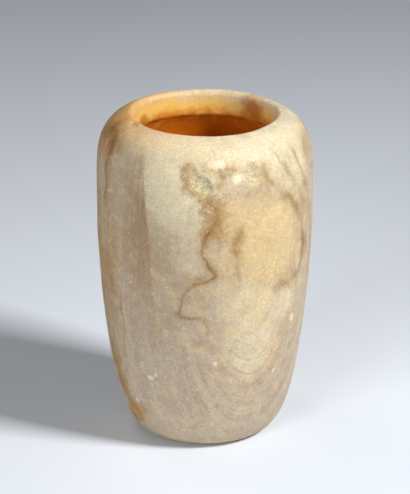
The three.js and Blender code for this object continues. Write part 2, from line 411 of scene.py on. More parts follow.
def section(form):
    """The turned outline from under the foot to the inner floor: the (radius, height) of each ring, and the
    name of its stretch"""
    foot = (form.foot_radius, 0)
    belly = (form.belly_radius, form.belly_height)
    lip = (form.lip_radius, form.height)
    roll = (form.mouth_radius, form.height - LIP_ROLL)
    throat = (form.mouth_radius, form.height - form.throat_depth)
    cavity = (form.cavity_radius, form.belly_height)
    floor = (INNER_FLOOR_RADIUS, form.floor_thickness)
    lines = {
        "underside": np.array([(0, 0), foot]),
        "wall": quarter(belly, foot, WALL_FULLNESS)[::-1],
        "shoulder": quarter(belly, lip, SHOULDER_FULLNESS),
        "roll": quarter(roll, lip, ROLL_FULLNESS)[::-1],
        "throat": np.array([roll, throat]),
        "undercut": quarter(cavity, throat, UNDERCUT_FULLNESS)[::-1],
        "cavity": quarter(cavity, floor, WALL_FULLNESS),
        "floor": np.array([floor, (0, form.floor_thickness)]),
    }
    points = []
    stretches = []
    for name, line in lines.items():
        rings = resample(line, ROWS[name])[1:]
        points.append(rings)
        stretches += [name] * len(rings)
    points = np.vstack(points)[:-1]  # the last ring would be the middle of the inner floor
    return points, np.array(stretches[:-1])


def wall_radius(form, height):
    """Radius of the plain outline at a height on the outside"""
    above = height > form.belly_height
    end = np.where(above, form.lip_radius, form.foot_radius)
    span = np.where(above, form.height - form.belly_height, form.belly_height)
    reach = np.where(above, SHOULDER_FULLNESS[0], WALL_FULLNESS[0])
    rise = np.where(above, SHOULDER_FULLNESS[1], WALL_FULLNESS[1])
    share = np.clip(np.abs(height - form.belly_height) / span, 0, 1)
    return end + (form.belly_radius - end) * (1 - share**rise) ** (1 / reach)


def wall_point(form, azimuth, height):
    """A place on the plain outside, in metres, from an azimuth in degrees and a height"""
    turn = np.radians(azimuth)
    height = np.clip(height, 0, form.height)
    radius = wall_radius(form, height)
    return np.stack([radius * np.sin(turn), -radius * np.cos(turn), height], axis=-1)


def wall_axes(form, azimuth, height):
    """Three directions at a place on the wall: level along it, up along it, and out of it"""
    step = 0.05 * MM
    turn = math.radians(azimuth)
    slope = (wall_radius(form, height + step) - wall_radius(form, height - step)) / (2 * step)
    out = np.array([math.sin(turn), -math.cos(turn), -float(slope)])
    out /= np.linalg.norm(out)
    along = np.cross((0, 0, 1), out)
    along /= np.linalg.norm(along)
    return along, np.cross(out, along), out


def from_spot(form, points, azimuth, height, turn):
    """Each point measured from a spot on the wall: along and up it, turned by some degrees, and out of it"""
    along, up, out = wall_axes(form, azimuth, height)
    offset = points - wall_point(form, azimuth, height)
    swing = math.radians(turn)
    across = offset @ (along * math.cos(swing) + up * math.sin(swing))
    over = offset @ (up * math.cos(swing) - along * math.sin(swing))
    return across, over, offset @ out


def wave(form, azimuth, height):
    """How far the stone swells out from a true circle"""
    swell = 0
    for lobes, depth, start, twist in WAVES:
        turn = np.radians(azimuth - start - twist * (height - form.belly_height))
        swell = swell + depth * np.cos(lobes * turn)
    return swell * smooth(height, 0, form.belly_height / 2)


def degrees_past(azimuth, start):
    """From a start to an azimuth the short way round, in degrees"""
    return (azimuth - start + 180) % 360 - 180


def dressed(form, radius, azimuth, height):
    """The radius once the flats have been rubbed down, with their edges a little worn"""
    for start, lean, depth, low, high in FLATS:
        middle = start + lean * (height - form.belly_height)
        apart = degrees_past(azimuth, middle)
        strength = smooth(height, low, low + FLAT_FADE[0]) * (1 - smooth(height, high - FLAT_FADE[1], high))
        near = (np.abs(apart) < FLAT_REACH) & (strength > 0)
        plane = (radius - depth * strength) / np.cos(np.radians(np.where(near, apart, 0)))
        share = np.clip(0.5 + 0.5 * (plane - radius) / ARRIS_WEAR, 0, 1)
        worn = plane * (1 - share) + radius * share - ARRIS_WEAR * share * (1 - share) / 2
        radius = np.where(near, worn, radius)
    return radius


def chip_depths(form, points):
    """How deep each point is broken away, and how fresh the break looks"""
    depths = np.zeros(len(points))
    fresh = np.zeros(len(points))
    rough = ripples(points, 1.5 * MM, 7) * 0.16 * MM + ripples(points, 4 * MM, 8) * 0.14 * MM
    ragged = 0.3 * ripples(points, 4.5 * MM, 9) + 0.12 * ripples(points, 1.6 * MM, 10)
    open_share = math.sqrt(1 - (1 - 1 / CHIP_ROUNDNESS) ** 2)
    for azimuth, height, length, width, depth, turn, freshness in CHIPS:
        across, over, away = from_spot(form, points, azimuth, height, turn)
        thick = CHIP_ROUNDNESS * depth
        spread = (2 * open_share * across / length) ** 2 + (2 * open_share * over / width) ** 2
        spread = spread * (1 + ragged)
        shell = (thick - depth) - thick * np.sqrt(np.clip(1 - spread, 0, 1)) + rough
        bite = np.where((spread < 1) & (away > -4 * depth), away - shell, 0)
        depths = np.maximum(depths, np.clip(bite, 0, None))
        fresh = np.maximum(fresh, freshness * smooth(bite, 0.02 * MM, 0.2 * MM))
    return depths, fresh


def pit_depths(form, points):
    """Small pits in the skin, scattered over the outside"""
    random = np.random.default_rng(PIT_SEED)
    depths = np.zeros(len(points))
    uneven = 1 + 0.4 * ripples(points, 1.3 * MM, 12)
    for _ in range(PIT_COUNT):
        azimuth = random.uniform(-180, 180)
        height = form.height * (1 - random.uniform(0, 0.95) ** 1.3)
        size = PIT_SIZES[0] + (PIT_SIZES[1] - PIT_SIZES[0]) * random.uniform() ** 2.5
        depth = random.uniform(*PIT_DEPTHS)
        away = np.linalg.norm(points - wall_point(form, azimuth, height), axis=1)
        share = np.clip(1 - (away * uneven / size) ** 2, 0, 1)
        depths = np.maximum(depths, depth * share**1.5)
    return depths


def spot_mask(form, points, azimuth, height, width, tall, turn):
    """A soft oval on the wall, 1 at its middle"""
    across, over, away = from_spot(form, points, azimuth, height * MM, turn)
    width *= MM
    tall *= MM
    return np.exp(-((across / width) ** 2) - (over / tall) ** 2 - (away / (width + tall)) ** 2)


def vein_line(form, places, seed):
    """A jagged line of points on the wall through the given places, and how far along it each point lies"""
    places = np.array(places, float)
    ends = np.vstack([2 * places[0] - places[1], places, 2 * places[-1] - places[-2]])
    line = []
    for before, start, stop, after in zip(ends, ends[1:], ends[2:], ends[3:]):
        arc = math.hypot(math.radians(stop[0] - start[0]) * form.belly_radius, (stop[1] - start[1]) * MM)
        count = max(2, int(arc / VEIN_STEP))
        t = np.linspace(0, 1, count, endpoint=False)[:, None]
        bend = 2 * before - 5 * start + 4 * stop - after
        twist = 3 * start - before - 3 * stop + after
        line.append((2 * start + (stop - before) * t + bend * t**2 + twist * t**3) / 2)
    line = np.vstack(line + [places[-1:]])
    random = np.random.default_rng(seed)
    knots = np.arange(0, len(line) + 3, 3)
    sway = np.column_stack(
        [np.interp(np.arange(len(line)), knots, random.normal(size=len(knots))) for _ in range(2)]
    )
    line = line + sway * VEIN_SWAY
    return wall_point(form, line[:, 0], line[:, 1] * MM), np.linspace(0, 1, len(line))


def vein_fields(form, points, normals):
    """For each layer of veins, every point's distance from the nearest vein, in half widths and signed by
    side, and how strong that vein is there"""
    fields = {
        layer: (np.full(len(points), FAR), np.zeros(len(points)))
        for layer in sorted({vein[0] for vein in VEINS.values()})
    }
    for seed, (layer, width, full_strength, places) in enumerate(VEINS.values()):
        line, shares = vein_line(form, places, seed + 100)
        near = np.flatnonzero(
            np.all((points > line.min(0) - VEIN_REACH) & (points < line.max(0) + VEIN_REACH), axis=1)
        )
        starts = line[:-1]
        steps = np.diff(line, axis=0)
        offset = points[near, None, :] - starts[None]
        along = np.clip((offset * steps).sum(2) / (steps**2).sum(1), 0, 1)
        gap = offset - along[..., None] * steps
        distance = np.linalg.norm(gap, axis=2)
        nearest = distance.argmin(1)
        rows = np.arange(len(near))
        sides = np.cross(steps[nearest], gap[rows, nearest])
        sign = np.sign((sides * normals[near]).sum(1))
        distance = distance[rows, nearest]
        share = shares[nearest] + along[rows, nearest] * (shares[1] - shares[0])
        ends = smooth(share, 0.0, 0.1) * (1 - smooth(share, 0.88, 1.0))
        uneven = 0.8 + 0.35 * ripples(points[near], 7 * MM, seed + 300)
        fade = 1 - smooth(distance, 0.6 * VEIN_REACH, VEIN_REACH)
        strength = full_strength * ends * fade * np.clip(uneven, 0.25, 1.2)
        thickness = (1 + 0.35 * ripples(points[near], 5 * MM, seed + 500)).clip(0.4, 2)
        measure = distance / (width * MM * thickness)
        distances, strengths = fields[layer]
        closer = measure < np.abs(distances[near])
        distances[near[closer]] = (sign * measure)[closer]
        strengths[near[closer]] = strength[closer]
    return fields


def carve(form):
    """The vase's points ring by ring, and what the finish needs to know at each of them"""
    rings, stretches = section(form)
    columns = form.columns
    tangents = np.gradient(rings, axis=0)
    tangents /= np.linalg.norm(tangents, axis=1, keepdims=True)

    # Every ring's values repeated for each column
    azimuth = np.tile(np.linspace(-180, 180, columns, endpoint=False), len(rings))
    radius = np.repeat(rings[:, 0], columns)
    height = np.repeat(rings[:, 1], columns)
    normal_out = np.repeat(tangents[:, 1], columns)
    normal_up = np.repeat(-tangents[:, 0], columns)
    stretch = np.repeat(stretches, columns)
    turn = np.radians(azimuth)
    outward = np.column_stack([np.sin(turn), -np.cos(turn), np.zeros(len(turn))])
    normals = outward * normal_out[:, None]
    normals[:, 2] = normal_up

    outside = np.isin(stretch, ("wall", "shoulder"))
    under = stretch == "underside"
    throat = np.isin(stretch, ("roll", "throat"))
    inside = np.isin(stretch, ("undercut", "cavity", "floor"))

    # The broad form, as it was dressed by hand
    shaped = np.where(outside, dressed(form, radius, azimuth, height), radius)
    swell = wave(form, azimuth, height) * np.minimum(1, radius / form.foot_radius)
    shaped = shaped + np.where(under, 0, swell)
    points = outward * shaped[:, None]
    points[:, 2] = height

    # Fine relief, which dies away at the foot so that the vase still stands on its flat
    clear = smooth(height, 0.3 * MM, 7 * MM)
    relief = np.zeros(len(points))
    hand = ripples(points, 9 * MM, 1) * 0.09 * MM + ripples(points, 3.2 * MM, 2, (1, 1, 2.5)) * 0.035 * MM
    relief += np.where(outside, hand, 0)
    pits = np.where(outside, pit_depths(form, points), 0)
    chips, fresh = chip_depths(form, points)
    relief -= pits + np.where(inside | under, 0, chips)
    drill_turn = 2 * np.pi * height / DRILL_SPACING + 1.5 * ripples(points, 14 * MM, 3, (1, 1, 0.4))
    drilled = np.sin(drill_turn) * 0.16 * MM + ripples(points, 6 * MM, 4) * 0.14 * MM
    depth_in = smooth(form.height - form.throat_depth - height, -3 * MM, 4 * MM)
    relief += np.where(inside, drilled * depth_in, 0)
    relief += np.where(throat, ripples(points, 5 * MM, 5) * 0.1 * MM - 0.06 * MM, 0)
    points += normals * (relief * np.where(inside | throat, 1, clear))[:, None]

    # The rim dips a little here and there, and the underside is very slightly hollow
    top = smooth(height, form.height - RIM_HEIGHT, form.height) * ~inside
    points[:, 2] -= top * (0.18 + 0.16 * ripples(points, 16 * MM, 6)).clip(0, 1) * MM
    hollow = 1 - smooth(radius, 0.5 * form.foot_radius, 0.92 * form.foot_radius)
    points[:, 2] += np.where(under, UNDERSIDE_HOLLOW * hollow, 0)

    # What the finish reads
    depth_below_rim = form.height - height
    # How far into the mouth a point lies, which sets the painted glow there
    deep = np.where(inside, 0.6 + 0.4 * smooth(depth_below_rim, form.throat_depth, 30 * MM), 0)
    deep = np.where(throat, 0.6 * np.clip(depth_below_rim / form.throat_depth, 0, 1), deep)
    # The share of the rim's painted warm glow and highlight, highest towards the left shoulder
    lip_glow_share = (0.5 + 0.5 * np.cos(turn - math.radians(LIP_GLOW_AZIMUTH))) ** 3
    lip = smooth(height, form.height - 9 * MM, form.height - 1.5 * MM) * ~inside
    fields = {
        "deep": deep,
        "fresh": np.where(inside | under, 0, fresh),
        "pit": pits / PIT_DEPTHS[1],
        "worn_lip": np.where(throat, 1, lip),
        "golden": lip_glow_share,
        # Painted shade along the foot's lowest edge where it meets the floor, and weaker on its underside
        "ground_dirt": np.where(under, 0.3, 1 - smooth(height, 0.3 * MM, 3.5 * MM)),
    }

    def patchwork(patches):
        return sum(patch[-1] * spot_mask(form, points, *patch[:-1]) for patch in patches)

    for name, patches in PATCHES.items():
        fields[name] = np.where(inside, 0, patchwork(patches))
    fields["rust"] = fields["rust"] * ~throat
    fields["layered"] = np.where(inside, 0, np.clip(patchwork(LAYERED), 0, 1))
    edge = np.array(FLANK_EDGE)[::-1]
    beyond = np.radians(np.interp(height, edge[:, 1] * MM, edge[:, 0]) - azimuth) * radius
    dull = np.interp(height, edge[:, 1] * MM, edge[:, 2], left=0, right=0)
    dull = dull * smooth(beyond, -0.5 * MM, 0.7 * MM) * np.exp(-((beyond / FLANK_WIDTH) ** 2))
    fields["flank"] = np.where(inside, 0, dull)
    fields["smudge"] = np.zeros(len(points))
    for start, wide, middle, tall in THROAT_DARK_PATCHES:
        apart = degrees_past(azimuth, start)
        fields["smudge"] += throat * np.exp(-((apart / wide) ** 2) - ((height - middle) / tall) ** 2)
    # Bleached spots, and painted highlights on the front of the shoulder
    fields["bright"] = sum(spot_mask(form, points, *spot) for spot in BLEACH_AND_HIGHLIGHT_SPOTS)
    for layer, (distances, strengths) in vein_fields(form, points, normals).items():
        fields[layer] = distances
        fields[layer + "_strength"] = np.where(inside, 0, strengths)
    return points, fields, len(rings)


def stone_mesh(name, form):
    """Joins the rings into one closed mesh, with a middle point under the foot and one on the inner floor"""
    points, fields, ring_count = carve(form)
    columns = form.columns
    middle_under = len(points)
    middle_floor = middle_under + 1
    centres = np.array([(0, 0, UNDERSIDE_HOLLOW), (0, 0, form.floor_thickness)])
    points = np.vstack([points, centres])

    column = np.arange(columns)
    following = (column + 1) % columns
    first = np.arange(ring_count - 1)[:, None] * columns
    quads = np.stack(
        [first + column, first + following, first + columns + following, first + columns + column], axis=-1
    ).reshape(-1, 4)
    last = (ring_count - 1) * columns
    faces = quads.tolist()
    faces += [(middle_under, int(b), int(a)) for a, b in zip(column, following)]
    faces += [(last + int(a), last + int(b), middle_floor) for a, b in zip(column, following)]

    mesh = bpy.data.meshes.new(name)
    mesh.from_pydata(points.tolist(), [], faces)
    mesh.validate()
    mesh.shade_smooth()
    for field, values in fields.items():
        values = np.append(values, [values[0], values[-1]]).astype(np.float32)
        mesh.attributes.new(field, "FLOAT", "POINT").data.foreach_set("value", values)
    return mesh


class Bench:
    """Adds nodes to one node tree, linking them as it goes, and returns their sockets"""

    def __init__(self, tree):
        self.tree = tree

    def add(self, kind, settings=None, **sockets):
        node = self.tree.nodes.new(kind)
        for name, value in (settings or {}).items():
            setattr(node, name, value)
        for name, value in sockets.items():
            self.feed(node.inputs[name.replace("_", " ")], value)
        return node

    def feed(self, socket, value):
        if isinstance(value, bpy.types.NodeSocket):
            self.tree.links.new(value, socket)
        else:
            socket.default_value = value

    def numbered(self, kind, settings, *values):
        node = self.add(kind, settings)
        for socket, value in zip(node.inputs, values):
            self.feed(socket, value)
        return node.outputs[0]

    def math(self, operation, *values, clamp=False):
        return self.numbered("ShaderNodeMath", {"operation": operation, "use_clamp": clamp}, *values)

    def times(self, *values, clamp=False):
        return self.math("MULTIPLY", *values, clamp=clamp)

    def plus(self, *values, clamp=False):
        return self.math("ADD", *values, clamp=clamp)

    def minus(self, *values, clamp=False):
        return self.math("SUBTRACT", *values, clamp=clamp)

    def vector(self, operation, *values):
        return self.numbered("ShaderNodeVectorMath", {"operation": operation}, *values)

    def scaled(self, vector, factor):
        return self.add(
            "ShaderNodeVectorMath", {"operation": "SCALE"}, Vector=vector, Scale=factor
        ).outputs["Vector"]

    def measured(self, place, size):
        """A place counted in features of a size, rather than in metres"""
        return self.scaled(place, self.math("DIVIDE", 1.0, size))

    def reach(self, value, low, high, new_low=0.0, new_high=1.0):
        return self.add(
            "ShaderNodeMapRange", {"interpolation_type": "SMOOTHSTEP"},
            Value=value, From_Min=low, From_Max=high, To_Min=new_low, To_Max=new_high,
        ).outputs["Result"]

    def blend(self, mode, factor, first, second):
        node = self.add("ShaderNodeMix", {"data_type": "RGBA", "blend_type": mode, "clamp_factor": True})
        self.feed(node.inputs["Factor"], factor)
        self.feed(node.inputs[6], first)
        self.feed(node.inputs[7], second)
        return node.outputs[2]

    def noise(self, vector, detail=3.0, roughness=0.55, seed=0.0):
        return self.add(
            "ShaderNodeTexNoise", {"noise_dimensions": "4D"},
            Vector=vector, W=seed, Scale=1.0, Detail=detail, Roughness=roughness,
        ).outputs

    def field(self, name):
        return self.add("ShaderNodeAttribute", {"attribute_name": name}).outputs["Fac"]

    def use(self, group, **sockets):
        return self.add("ShaderNodeGroup", {"node_tree": group}, **sockets).outputs


def new_group(name, inputs, outputs):
    """An empty shader group with named sockets: the tree, its bench, and the sockets at its two ends"""
    tree = bpy.data.node_groups.new(name, "ShaderNodeTree")
    for socket, default in inputs.items():
        kind = "NodeSocketFloat" if isinstance(default, float) else "NodeSocketVector"
        made = tree.interface.new_socket(socket, in_out="INPUT", socket_type=kind)
        made.default_value = default
    for socket in outputs:
        tree.interface.new_socket(socket, in_out="OUTPUT", socket_type="NodeSocketFloat")
    bench = Bench(tree)
    arriving = bench.add("NodeGroupInput").outputs
    leaving = bench.add("NodeGroupOutput").inputs
    return tree, bench, arriving, leaving


def mottle_group():
    """Soft clouds in the stone, folded into each other"""
    tree, bench, arriving, leaving = new_group(
        "Stone Clouds", {"Place": (0, 0, 0), "Size": 0.01, "Folding": 1.0, "Seed": 0.0}, ["Cloud"]
    )
    place = bench.measured(arriving["Place"], arriving["Size"])
    fold = bench.noise(bench.scaled(place, 0.6), 2.0, 0.5, arriving["Seed"])["Color"]
    shift = bench.scaled(bench.vector("SUBTRACT", fold, (0.5, 0.5, 0.5)), arriving["Folding"])
    cloud = bench.noise(bench.vector("ADD", place, shift), 6.0, 0.6, arriving["Seed"])["Fac"]
    bench.feed(leaving["Cloud"], bench.reach(cloud, 0.3, 0.7))
    return tree


def bedding_group():
    """The layers that the stone grew in: shells nested round a centre, some pale and some dark"""
    tree, bench, arriving, leaving = new_group(
        "Stone Bedding",
        {
            "Place": (0, 0, 0), "Centre": (0, 0, 0), "Stretch": (1, 1, 1),
            "Spacing": 0.003, "Warp": 0.004, "Seed": 0.0,
        },
        ["Band", "Line"],
    )
    fold = bench.noise(bench.scaled(arriving["Place"], 38.0), 4.0, 0.5, arriving["Seed"])["Color"]
    shift = bench.scaled(bench.vector("SUBTRACT", fold, (0.5, 0.5, 0.5)), arriving["Warp"])
    place = bench.vector("SUBTRACT", bench.vector("ADD", arriving["Place"], shift), arriving["Centre"])
    length_node = bench.add("ShaderNodeVectorMath", {"operation": "LENGTH"})
    bench.feed(length_node.inputs[0], bench.vector("DIVIDE", place, arriving["Stretch"]))
    shell = bench.math("DIVIDE", length_node.outputs["Value"], arriving["Spacing"])
    for socket, scale, detail, low, high in (("Band", 0.45, 2.0, 0.3, 0.7), ("Line", 2.4, 1.5, 0.5, 0.72)):
        noise = bench.add(
            "ShaderNodeTexNoise", {"noise_dimensions": "1D"}, W=shell, Scale=scale, Detail=detail
        )
        bench.feed(leaving[socket], bench.reach(noise.outputs["Fac"], low, high))
    return tree


def patch_group():
    """Gives a soft patch a ragged, cloudy edge"""
    tree, bench, arriving, leaving = new_group(
        "Ragged Patch",
        {"Weight": 0.0, "Place": (0, 0, 0), "Size": 0.004, "Raggedness": 0.6, "Seed": 0.0},
        ["Mask"],
    )
    place = bench.measured(arriving["Place"], arriving["Size"])
    noise = bench.noise(place, 5.0, 0.6, arriving["Seed"])["Fac"]
    wobble = bench.times(bench.minus(noise, 0.5), arriving["Raggedness"])
    held = bench.times(wobble, bench.reach(arriving["Weight"], 0.02, 0.3))
    bench.feed(leaving["Mask"], bench.reach(bench.plus(arriving["Weight"], held), 0.12, 0.95))
    return tree


def vein_group():
    """Turns the distance from a vein into its dark line and the stain round it"""
    tree, bench, arriving, leaving = new_group(
        "Stone Vein",
        {"Distance": FAR, "Strength": 0.0, "Place": (0, 0, 0), "Size": 0.0022, "Wobble": 2.4},
        ["Line", "Stain"],
    )
    place = bench.measured(arriving["Place"], arriving["Size"])
    noise = bench.noise(place, 4.0, 0.65)["Fac"]
    sway = bench.times(bench.minus(noise, 0.5), arriving["Wobble"])
    away = bench.math("ABSOLUTE", bench.plus(arriving["Distance"], sway))
    line = bench.reach(away, 0.1, 2.0, 1.0, 0.0)
    spread = bench.noise(bench.scaled(place, 0.5), 4.0, 0.6, 9.0)["Fac"]
    halo = bench.reach(away, 0.0, bench.reach(spread, 0.3, 0.7, 3.0, 10.0), 1.0, 0.0)
    thin = bench.noise(bench.scaled(place, 0.3), 3.0, 0.6, 5.0)["Fac"]
    line = bench.times(line, bench.reach(thin, 0.35, 0.6, 0.45, 1.0))
    bench.feed(leaving["Line"], bench.times(line, arriving["Strength"]))
    bench.feed(leaving["Stain"], bench.times(bench.math("POWER", halo, 1.5), arriving["Strength"]))
    return tree


def grain_group():
    """Interlocked crystals: each a little lighter or darker, with pale flecks and dark pores among them"""
    tree, bench, arriving, leaving = new_group(
        "Stone Grain", {"Place": (0, 0, 0), "Size": 0.0009}, ["Tint", "Fleck", "Pore", "Height"]
    )
    place = bench.measured(arriving["Place"], arriving["Size"])
    shift = bench.scaled(bench.noise(bench.scaled(place, 0.7), 2.0)["Color"], 1.2)
    cells = bench.add("ShaderNodeTexVoronoi", Vector=bench.vector("ADD", place, shift), Scale=1.0).outputs
    pick = bench.add("ShaderNodeSeparateColor", Color=cells["Color"]).outputs
    soft = bench.noise(bench.scaled(place, 1.4), 3.0, 0.7, 3.0)["Fac"]
    tint = bench.plus(bench.times(pick["Red"], 0.35), bench.times(soft, 0.65))
    bench.feed(leaving["Tint"], bench.reach(tint, 0.25, 0.75))
    crowd = bench.noise(bench.scaled(place, 0.12), 3.0, 0.6, 11.0)["Fac"]
    flecks = bench.noise(bench.scaled(place, 1.5), 3.0, 0.7, 17.0)["Fac"]
    over = bench.minus(flecks, bench.reach(crowd, 0.35, 0.65, 0.67, 0.55))
    bench.feed(leaving["Fleck"], bench.reach(over, 0.0, 0.07))
    pores = bench.noise(bench.scaled(place, 1.2), 2.0, 0.6, 23.0)["Fac"]
    bench.feed(leaving["Pore"], bench.reach(pores, 0.24, 0.33, 1.0, 0.0))
    lump = bench.times(bench.reach(cells["Distance"], 0.0, 0.8, 1.0, 0.0), 0.35)
    bench.feed(leaving["Height"], bench.plus(lump, soft))
    return tree


def rub_group():
    """Faint scratches where the stone was rubbed smooth, all running one way"""
    tree, bench, arriving, leaving = new_group(
        "Rubbing Marks", {"Place": (0, 0, 0), "Size": 0.0007, "Tilt": 0.4}, ["Scratch"]
    )
    turned = bench.add("ShaderNodeVectorRotate", {"rotation_type": "Y_AXIS"}, Vector=arriving["Place"])
    bench.feed(turned.inputs["Angle"], arriving["Tilt"])
    drawn = bench.vector("MULTIPLY", turned.outputs["Vector"], (1.0, 1.0, 0.07))
    place = bench.measured(drawn, arriving["Size"])
    bench.feed(leaving["Scratch"], bench.reach(bench.noise(place, 2.0, 0.6)["Fac"], 0.35, 0.7))
    return tree


def lay_out(tree):
    """Sets the nodes out in columns, each left of what it feeds"""
    column_of = {node: 0 for node in tree.nodes}
    for _ in range(len(tree.nodes)):
        moved = False
        for link in tree.links:
            wanted = column_of[link.to_node] + 1
            if column_of[link.from_node] < wanted:
                column_of[link.from_node] = wanted
                moved = True
        if not moved:
            break
    rows = {}
    for node, column in column_of.items():
        row = rows.get(column, 0)
        rows[column] = row + 1
        node.location = (-220 * column, -180 * row)


def alabaster(name, look):
    """The stone: body and patches, growth layers, clouds, veins, grain, breaks, and the painted amber glow of
    the hollow
    """
    material = bpy.data.materials.new(name)
    material.use_nodes = True
    tree = material.node_tree
    tree.nodes.clear()
    bench = Bench(tree)
    place = bench.add("ShaderNodeTexCoord").outputs["Object"]
    clouds = mottle_group()
    bedding = bedding_group()
    patch = patch_group()
    vein = vein_group()
    grain = grain_group()
    rubbing = rub_group()

    def shade(tint):
        return (*tint, 1.0)

    def cloud(size, folding, seed):
        return bench.use(clouds, Place=place, Size=size, Folding=folding, Seed=seed)["Cloud"]

    def ragged(field, size, raggedness, seed):
        return bench.use(
            patch, Weight=bench.field(field), Place=place, Size=size, Raggedness=raggedness, Seed=seed
        )["Mask"]

    def toned(under, tint, mask, strength=None):
        """The colour under it, turned towards a tint where the mask is high"""
        factor = mask if strength is None else bench.times(mask, strength)
        return bench.blend("MIX", factor, under, shade(tint))

    # Broad clouds of pinker stone, then the patches, then smaller clouds
    broad = cloud(24 * MM, 1.6, 1.0)
    small = cloud(5.5 * MM, 1.2, 4.0)
    colour = toned(shade(look.body), look.rose, broad, 0.7)
    for seed, name in enumerate(("rose", "grey", "cream", "amber", "russet")):
        colour = toned(colour, getattr(look, name), ragged(name, 7 * MM, 1.1, float(seed)), 0.9)
    colour = toned(colour, look.cream, small, 0.22)
    fine = cloud(2.4 * MM, 0.8, 7.0)
    colour = toned(colour, look.grey, cloud(8 * MM, 1.4, 14.0), 0.18)
    colour = toned(colour, look.amber, cloud(5 * MM, 1.5, 24.0), 0.06)
    colour = toned(colour, look.rose, cloud(7 * MM, 1.5, 34.0), 0.22)

    # The growth layers lie round a tall centre behind the right of the front
    layers = bench.use(
        bedding, Place=place, Centre=(17 * MM, -12 * MM, 84 * MM), Stretch=(1.0, 3.0, 2.6),
        Spacing=1.7 * MM, Warp=7 * MM,
    )
    shown = bench.times(bench.field("layered"), bench.reach(small, 0.0, 0.8, 1.0, 0.5))
    band = bench.times(bench.minus(layers["Band"], 0.5), shown)
    pale = bench.times(band, 0.4, clamp=True)
    dark = bench.times(band, -0.45, clamp=True)
    colour = toned(colour, look.cream, pale)
    colour = toned(colour, look.rust, dark)
    colour = toned(colour, look.rust, bench.times(layers["Line"], shown), 0.38)

    # The rim is warmer where it is thin and has been handled: partly handling wear, partly a painted glow of
    # light through the thin stone and a painted highlight towards the left shoulder
    rim = toned(shade(look.rim), look.lip, bench.field("golden"))
    handled_and_glowing = bench.times(bench.field("worn_lip"), bench.reach(small, 0.1, 0.9, 0.85, 0.45))
    colour = bench.blend("MIX", handled_and_glowing, colour, rim)

    # The flank that was rubbed down is duller, up to its edge
    streak = bench.use(rubbing, Place=place, Size=1.4 * MM, Tilt=-0.04)["Scratch"]
    uneven = bench.plus(bench.times(streak, 0.45), bench.times(small, 0.55))
    dull = bench.times(bench.field("flank"), bench.reach(uneven, 0.1, 0.9, 0.45, 0.9))
    colour = toned(colour, look.flank, dull)

    # Brown stain, and the veins with the stain beside them
    stain = ragged("rust", 4 * MM, 2.0, 9.0)
    colour = toned(colour, look.rust, stain, bench.reach(fine, 0.0, 1.0, 0.85, 0.45))
    for layer in ("vein_a", "vein_b"):
        lines = bench.use(
            vein, Distance=bench.field(layer), Strength=bench.field(layer + "_strength"), Place=place
        )
        colour = toned(colour, look.rust, lines["Stain"], 0.6)
        colour = toned(colour, look.vein, lines["Line"], 0.75)

    # Crystals and fine clouds make the whole surface grainy
    crystals = bench.use(grain, Place=place, Size=look.grain_size)
    scratch = bench.use(rubbing, Place=place)["Scratch"]
    lift = bench.plus(bench.times(crystals["Tint"], 0.74), bench.times(fine, 0.12))
    lift = bench.plus(lift, bench.times(scratch, 0.2))
    dim = bench.minus(1.0, lift, clamp=True)
    colour = bench.blend("MULTIPLY", dim, colour, (0.74, 0.72, 0.68, 1.0))
    colour = toned(colour, look.rust, crystals["Pore"], 0.25)
    colour = toned(colour, look.crystal, crystals["Fleck"], 0.8)

    # Breaks show the bare crystal, bleached spots are paler with painted highlights on the shoulder, pits
    # hold a little soil, and the foot gets painted shade where it meets the floor
    facets = bench.use(grain, Place=place, Size=0.7 * MM)
    sugary = toned(shade(look.break_shade), look.crystal, bench.reach(facets["Tint"], 0.1, 0.9), 0.42)
    sugary = toned(sugary, look.crystal, facets["Fleck"], 0.55)
    fresh = ragged("fresh", 1.6 * MM, 0.7, 31.0)
    colour = bench.blend("MIX", bench.times(fresh, 0.92), colour, sugary)
    # Paler spots: bleached stone, and painted highlights on the front of the shoulder
    bright = ragged("bright", 1.3 * MM, 1.3, 21.0)
    colour = toned(colour, look.crystal, bright, 0.6)
    soil_and_foot_shade = bench.times(bench.field("pit"), 0.25)
    # Painted shade at the foot where it meets the floor, added to the soil in the pits
    soil_and_foot_shade = bench.plus(soil_and_foot_shade, bench.times(bench.field("ground_dirt"), 0.5), clamp=True)
    colour = toned(colour, look.rust, soil_and_foot_shade)

    # Inside the mouth the stone is lit through its wall: its colour there is a painted glow, which turns from
    # honey to deep amber
    deep = bench.plus(bench.field("deep"), bench.times(bench.minus(small, 0.5), 0.2))
    colour = toned(colour, look.throat, bench.reach(deep, 0.0, 0.42))
    colour = toned(colour, look.hollow, bench.reach(deep, 0.33, 0.68))
    # Darker brown patches inside the mouth
    colour = toned(colour, look.smudge, ragged("smudge", 5 * MM, 1.2, 41.0), 0.8)

